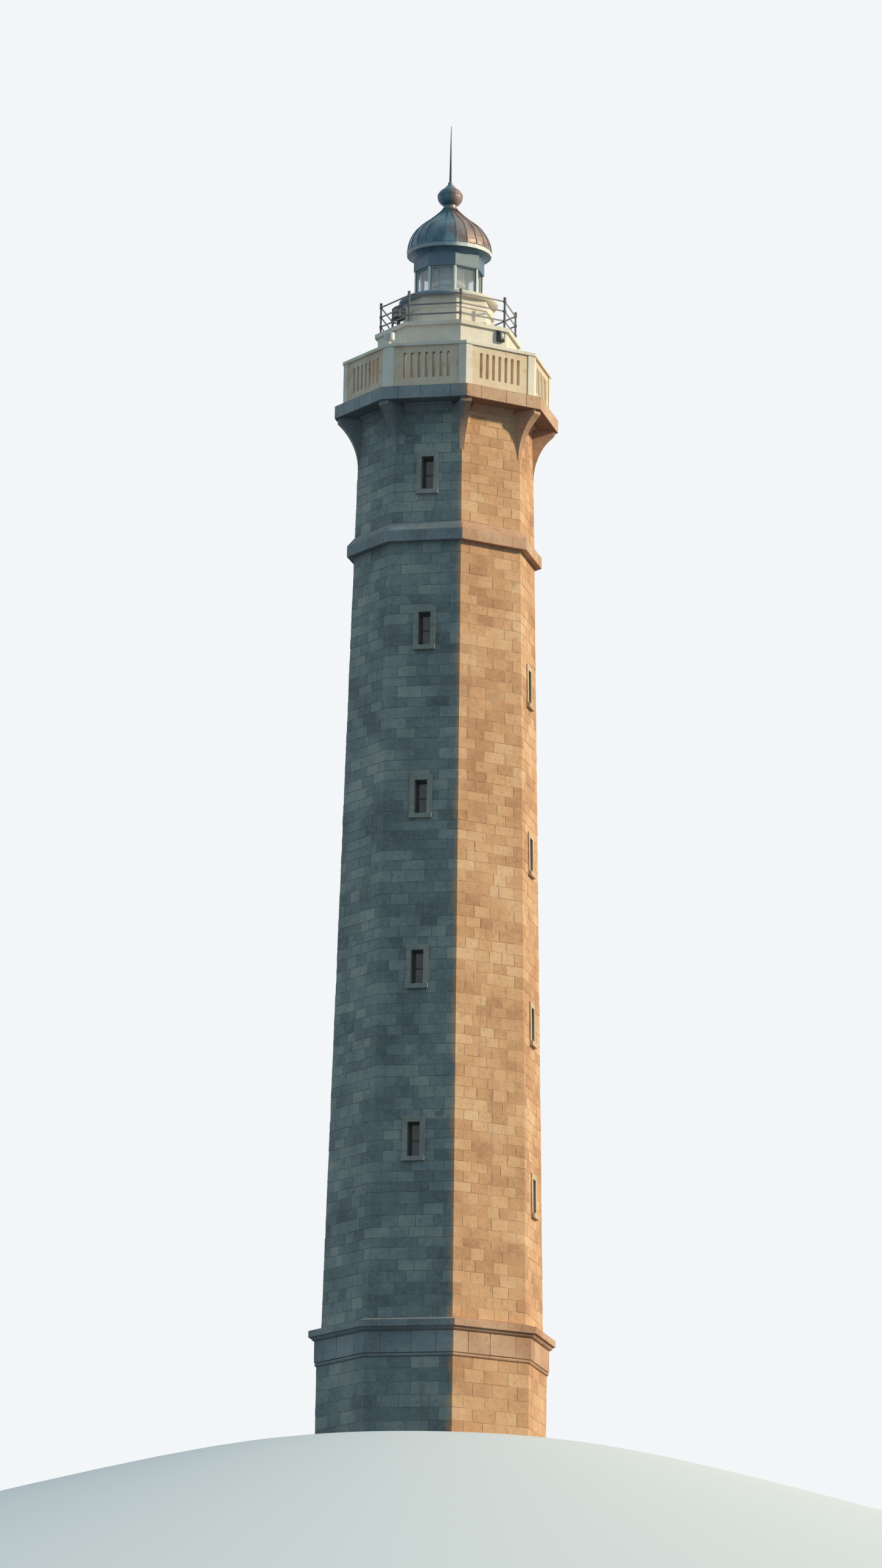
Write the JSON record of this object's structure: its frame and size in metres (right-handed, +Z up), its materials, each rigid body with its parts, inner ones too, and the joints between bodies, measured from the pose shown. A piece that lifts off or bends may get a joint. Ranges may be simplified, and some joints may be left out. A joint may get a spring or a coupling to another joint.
{
  "type": "lighthouse",
  "caption": "Tall octagonal granite lighthouse tower with slit windows, corner brackets under a pierced parapet gallery, a watch room, a glazed lantern and a copper dome",
  "frame": {"origin": "middle of the underside of the foundation step, on the ground", "axes": "+Z up the tower's axis; the windowed side in shade faces -Y, and the other sides follow every 45 degrees"},
  "size_m": [6.652, 6.652, 39.68],
  "materials": {
    "granite": "coursed granite ashlar, warm buff and grey with lichen",
    "limewashed_stone": "stone under worn cream limewash",
    "painted_iron": "dark paint, weathered",
    "dark_iron": "dark paint",
    "door_timber": "painted boards",
    "window_glass": "clear",
    "lens_glass": "clear, faceted",
    "lens_brass": "dulled",
    "white_iron": "white paint, chalked",
    "grey_iron": "blue-grey paint, weathered",
    "weathered_copper": "copper weathered grey-brown with blue-green in the shade",
    "rod_iron": "bare, weathered"
  },
  "bodies": {
    "root": {"base_astragal": "granite", "base_cornice": "granite", "base_frieze": "granite", "base_wall": "granite", "bed_moulding": "granite", "bulkhead_lamp": "painted_iron", "corner_brackets": "granite", "deck_lamp": "painted_iron", "dome": "weathered_copper", "dome_gutter": "white_iron", "entrance_door": "door_timber", "entrance_frame": "door_timber", "floodlight": "white_iron", "foundation_step": "granite", "gallery_deck": "granite", "lantern_glass": "window_glass", "lantern_head": "grey_iron", "lantern_mullions": "grey_iron", "lantern_pedestal": "limewashed_stone", "lantern_sill": "limewashed_stone", "lens": "lens_glass", "lens_frame": "lens_brass", "lightning_rod": "rod_iron", "parapet_coping": "limewashed_stone", "parapet_panel_east": "limewashed_stone", "parapet_panel_north": "limewashed_stone", "parapet_panel_northeast": "limewashed_stone", "parapet_panel_northwest": "limewashed_stone", "parapet_panel_south": "limewashed_stone", "parapet_panel_southeast": "limewashed_stone", "parapet_panel_southwest": "limewashed_stone", "parapet_panel_west": "limewashed_stone", "parapet_posts": "limewashed_stone", "pedestal_band": "limewashed_stone", "railing_posts": "painted_iron", "railing_rails": "painted_iron", "roof_cornice": "grey_iron", "shaft_wall_east": "granite", "shaft_wall_north": "granite", "shaft_wall_northeast": "granite", "shaft_wall_northwest": "granite", "shaft_wall_south": "granite", "shaft_wall_southeast": "granite", "shaft_wall_southwest": "granite", "shaft_wall_west": "granite", "string_course": "granite", "upper_deck": "limewashed_stone", "vent_ball": "weathered_copper", "watch_room_door": "door_timber", "watch_room_wall": "limewashed_stone", "window_panes": "window_glass", "window_sashes": "dark_iron", "window_surrounds": "granite"}
  },
  "joints": []
}
